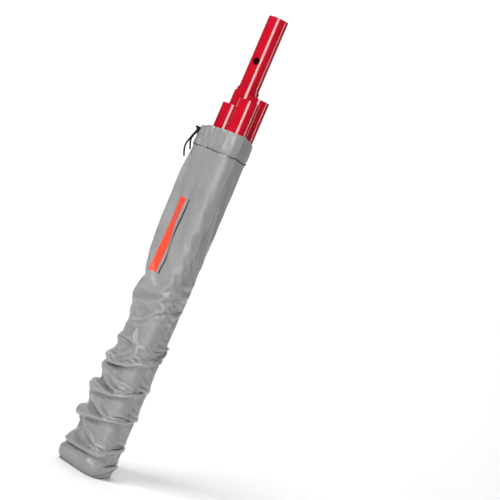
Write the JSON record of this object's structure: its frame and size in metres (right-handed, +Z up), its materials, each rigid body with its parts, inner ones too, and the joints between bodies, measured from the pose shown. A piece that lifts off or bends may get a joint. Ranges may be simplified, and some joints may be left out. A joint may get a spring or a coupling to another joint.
{
  "type": "access pole set in a drawstring bag",
  "caption": "Glossy red telescopic pole and matching push-together extension poles standing in a grey satin drawstring carrying bag.",
  "frame": {"origin": "on the floor under the middle of the bundle of poles, at the bag's base", "axes": "+Z up along the poles, -Y towards the bag's front, +X to the right seen from the front"},
  "size_m": [0.0874, 0.1008, 0.645],
  "materials": {
    "red_tube": "glossy red glass-fibre tube",
    "bag_cloth": "satin woven nylon",
    "cord": "matt black braided cord",
    "spigot_alloy": "drawn tube",
    "black_plastic": "moulded black plastic",
    "spring_steel": "spring steel strip",
    "button_steel": "turned steel"
  },
  "bodies": {
    "bag": {"bag_body": "bag_cloth", "bag_base": "bag_cloth", "hem_casing": "bag_cloth", "drawcord_loop": "cord", "drawcord_knot": "cord", "cord_tail_long": "cord", "cord_tail_short": "cord"},
    "outer_section": {"outer_tube": "red_tube", "pole_foot": "black_plastic"},
    "middle_section": {"middle_tube": "red_tube", "middle_guide": "black_plastic", "middle_spring": "spring_steel"},
    "inner_section": {"inner_tube": "red_tube", "inner_guide": "black_plastic", "inner_spring": "spring_steel"},
    "middle_snap": {"middle_button": "button_steel"},
    "inner_snap": {"inner_button": "button_steel"},
    "left_pole": {"left_tube": "red_tube", "left_spigot": "spigot_alloy", "left_rivets": "spigot_alloy", "left_end_plug": "black_plastic", "left_spring": "spring_steel"},
    "left_snap": {"left_button": "button_steel"},
    "front_pole": {"front_tube": "red_tube", "front_spigot": "spigot_alloy", "front_rivets": "spigot_alloy", "front_end_plug": "black_plastic", "front_spring": "spring_steel"},
    "front_snap": {"front_button": "button_steel"},
    "right_pole": {"right_tube": "red_tube", "right_spigot": "spigot_alloy", "right_rivets": "spigot_alloy", "right_end_plug": "black_plastic", "right_spring": "spring_steel"},
    "right_snap": {"right_button": "button_steel"}
  },
  "joints": [
    {"name": "telescopic_pole_out_of_bag", "type": "slide", "parent": "bag", "child": "outer_section", "axis": [0, 0, 1], "range_m": [0, 0.45]},
    {"name": "middle_section_slide", "type": "slide", "parent": "outer_section", "child": "middle_section", "axis": [0, 0, 1], "range_m": [0, 0.451]},
    {"name": "inner_section_slide", "type": "slide", "parent": "middle_section", "child": "inner_section", "axis": [0, 0, 1], "range_m": [0, 0.407]},
    {"name": "middle_button_pop", "type": "slide", "parent": "middle_section", "child": "middle_snap", "axis": [0, 1, 0], "range_m": [0, 0.003], "stiffness_N_per_m": 500},
    {"name": "inner_button_pop", "type": "slide", "parent": "inner_section", "child": "inner_snap", "axis": [0, 1, 0], "range_m": [0, 0.0017], "stiffness_N_per_m": 500},
    {"name": "left_pole_out_of_bag", "type": "slide", "parent": "bag", "child": "left_pole", "axis": [0, 0, 1], "range_m": [0, 0.45]},
    {"name": "left_button_press", "type": "slide", "parent": "left_pole", "child": "left_snap", "axis": [1, 0, 0], "range_m": [0, 0.0034], "stiffness_N_per_m": 500, "deforming": ["left_spring"]},
    {"name": "front_pole_out_of_bag", "type": "slide", "parent": "bag", "child": "front_pole", "axis": [0, 0, 1], "range_m": [0, 0.44]},
    {"name": "front_button_press", "type": "slide", "parent": "front_pole", "child": "front_snap", "axis": [0, 1, 0], "range_m": [0, 0.0034], "stiffness_N_per_m": 500, "deforming": ["front_spring"]},
    {"name": "right_pole_out_of_bag", "type": "slide", "parent": "bag", "child": "right_pole", "axis": [0, 0, 1], "range_m": [0, 0.43]},
    {"name": "right_button_press", "type": "slide", "parent": "right_pole", "child": "right_snap", "axis": [-1, 0, 0], "range_m": [0, 0.0034], "stiffness_N_per_m": 500, "deforming": ["right_spring"]}
  ]
}
